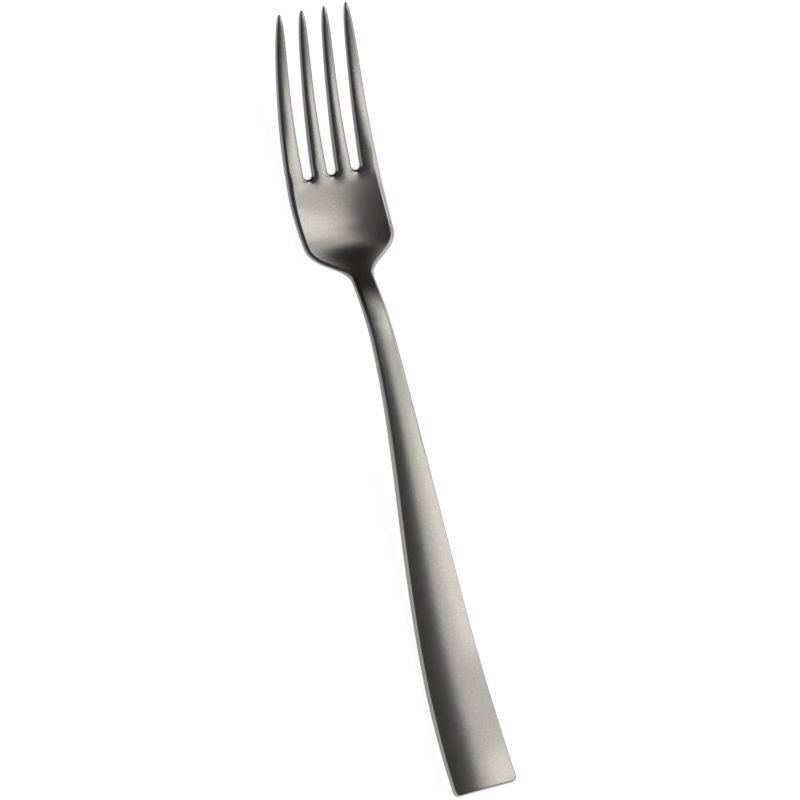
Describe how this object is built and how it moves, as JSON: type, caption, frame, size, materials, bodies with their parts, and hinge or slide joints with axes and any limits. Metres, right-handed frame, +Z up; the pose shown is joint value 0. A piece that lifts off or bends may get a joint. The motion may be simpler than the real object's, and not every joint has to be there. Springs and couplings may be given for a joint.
{
  "type": "serving fork",
  "caption": "Long serving fork in dark satin steel, with slim pointed tines, a shallow dished palm, an arched narrow neck and a flat handle that widens to a square end.",
  "frame": {"origin": "on the table, under the middle of the fork's length and width", "axes": "+X to the fork's right, +Y from the handle toward the tips of the tines, +Z up, with the fork lying face up"},
  "size_m": [0.0306, 0.24, 0.0192],
  "materials": {
    "steel": "dark stone-washed satin"
  },
  "bodies": {
    "root": {"handle": "steel", "neck": "steel", "palm": "steel", "left_outer_tine": "steel", "left_inner_tine": "steel", "right_inner_tine": "steel", "right_outer_tine": "steel"}
  },
  "joints": []
}
